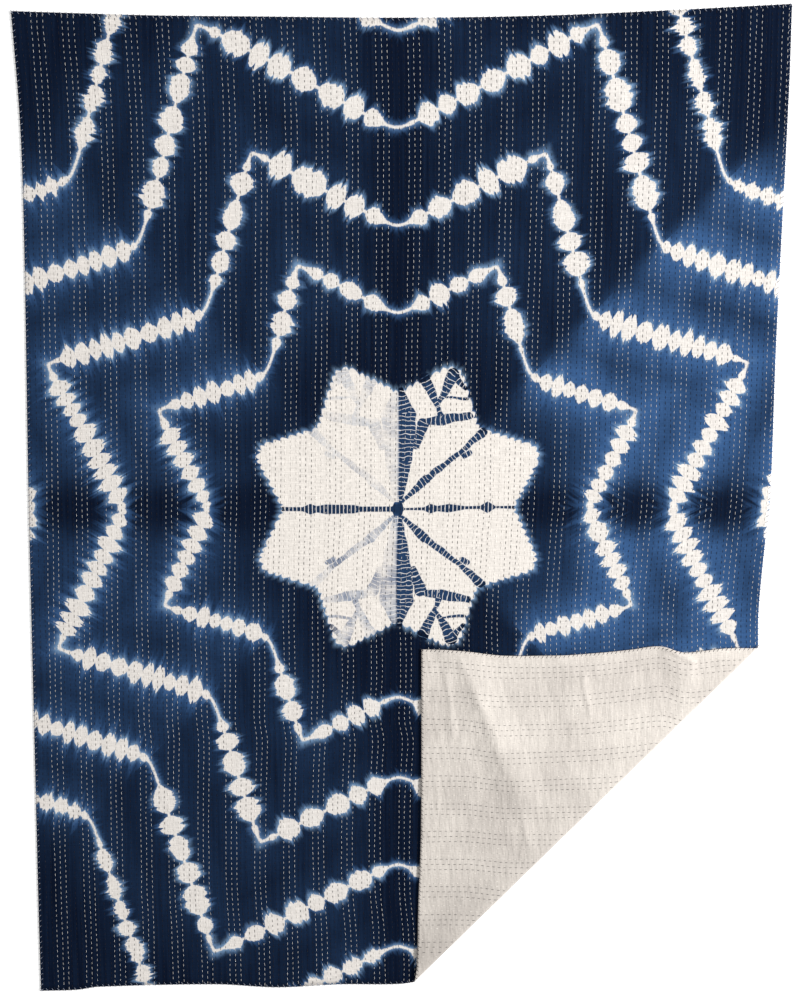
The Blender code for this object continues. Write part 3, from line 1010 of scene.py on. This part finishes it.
class THROW_OT_running_stitch(bpy.types.Operator):
    """Sew the rows of running stitch on both faces, one group in dark thread and the next in light"""

    bl_idname = "throw.running_stitch"
    bl_label = "Running stitch"

    def execute(self, context):
        sizes, colours = context.scene.throw_sizes, context.scene.throw_colours
        values = {
            "Pitch": sizes.stitch_pitch,
            "Length": sizes.stitch_length,
            "Width": sizes.stitch_width,
            "Height": sizes.stitch_height,
            "Slant": 0.0,
            "Unevenness": 0.2,
            "Seed": sizes.seed,
        }
        threads = ((0, "dark", colours.dark_thread), (1, "light", colours.light_thread))
        for first_group, shade, colour in threads:
            thread = cotton_thread("Quilting thread, " + shade, colour)
            tree = stitch_tree("Running stitch, " + shade, dash_shape, thread)
            for face, sides, rings in (("front", 3, 3), ("flap", 4, 3), ("under", 4, 2)):
                rows = stitch_rows(sizes, face, first_group)
                grain = values | {"Sides": sides, "Rings": rings}
                stitches = make_stitches(f"{face}_{shade}_stitch", rows, tree, grain)
                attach(stitches, "root")
        return {"FINISHED"}


class THROW_OT_overcast_stitch(bpy.types.Operator):
    """Sew the slanting overcast stitch around the edges"""

    bl_idname = "throw.overcast_stitch"
    bl_label = "Overcast stitch"

    def execute(self, context):
        sizes, colours = context.scene.throw_sizes, context.scene.throw_colours
        values = {
            "Length": sizes.overcast_reach,
            "Height": PAIR_THICKNESS + OVERCAST_ROOM,
            "Slant": OVERCAST_SLANT,
            "Unevenness": 0.15,
            "Seed": sizes.seed + 1,
        }
        tree = stitch_tree("Overcast stitch", loop_shape, edge_thread(colours))
        for name, on_flap, pitch in (
            ("overcast_stitch", False, sizes.overcast_pitch),
            ("flap_overcast_stitch", True, sizes.flap_overcast_pitch),
        ):
            stitches = make_stitches(name, edge_rows(on_flap), tree, values | {"Pitch": pitch})
            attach(stitches, "root")
        return {"FINISHED"}


class THROW_OT_stage(bpy.types.Operator):
    """Lay the pale floor, hang the soft light and set the camera"""

    bl_idname = "throw.stage"
    bl_label = "Stage"

    def execute(self, context):
        scene, colours = context.scene, context.scene.throw_colours
        bpy.ops.mesh.primitive_plane_add(size=FLOOR_SIZE)
        floor = context.object
        floor.name = "floor"
        material, _, shader = new_material("Pale matt floor")
        feed(shader, {"Base Color": (*colours.floor, 1), "Roughness": 1.0})
        feed(shader, {"Emission Color": WHITE, "Emission Strength": FLOOR_GLOW})
        floor.data.materials.append(material)

        world = bpy.data.worlds.new("Soft studio")
        world.use_nodes = True
        feed(world.node_tree.nodes["Background"], {"Color": WHITE, "Strength": SKY_STRENGTH})
        scene.world = world
        lamp = bpy.data.lights.new("key", "AREA")
        lamp.energy = KEY_WATTS
        lamp.size = KEY_SIZE
        light = new_object("key", lamp)
        light.location = KEY_PLACE
        light.rotation_euler = (-light.location).to_track_quat("-Z", "Y").to_euler()

        lens = bpy.data.cameras.new("camera")
        lens.sensor_width = SENSOR_WIDTH
        lens.lens = CAMERA_LENS
        camera = new_object("camera", lens)
        x, y = CAMERA_TARGET
        back, height = CAMERA_DISTANCE * math.sin(CAMERA_TILT), CAMERA_DISTANCE * math.cos(CAMERA_TILT)
        camera.location = (x, y + back, height)
        camera.rotation_euler = (-CAMERA_TILT, 0, 0)
        scene.camera = camera
        scene.view_settings.view_transform = "Standard"
        return {"FINISHED"}


class THROW_PT_panel(bpy.types.Panel):
    """Everything that makes the throw"""

    bl_label = "Kantha throw"
    bl_idname = "THROW_PT_panel"
    bl_space_type = "VIEW_3D"
    bl_region_type = "UI"
    bl_category = "Throw"

    def draw(self, context):
        for operator in OPERATORS:
            self.layout.operator(operator.bl_idname)
        for group in (context.scene.throw_sizes, context.scene.throw_colours):
            for name in group.__annotations__:
                self.layout.prop(group, name)


OPERATORS = (
    THROW_OT_dyed_front,
    THROW_OT_plain_back,
    THROW_OT_running_stitch,
    THROW_OT_overcast_stitch,
    THROW_OT_stage,
)
CLASSES = (ThrowSizes, ThrowColours, *OPERATORS, THROW_PT_panel)


def register():
    for kind in CLASSES:
        bpy.utils.register_class(kind)
    bpy.types.Scene.throw_sizes = PointerProperty(type=ThrowSizes)
    bpy.types.Scene.throw_colours = PointerProperty(type=ThrowColours)


def unregister():
    del bpy.types.Scene.throw_colours
    del bpy.types.Scene.throw_sizes
    for kind in reversed(CLASSES):
        bpy.utils.unregister_class(kind)


def main():
    register()
    bpy.ops.throw.dyed_front()
    bpy.ops.throw.plain_back()
    bpy.ops.throw.running_stitch()
    bpy.ops.throw.overcast_stitch()
    bpy.ops.throw.stage()
    pieces = bpy.data.objects
    on_back = [pieces[f"{face}_{shade}_stitch"] for face in ("flap", "under") for shade in ("dark", "light")]
    on_back.append(pieces["flap_overcast_stitch"])


if __name__ == "__main__":
    main()
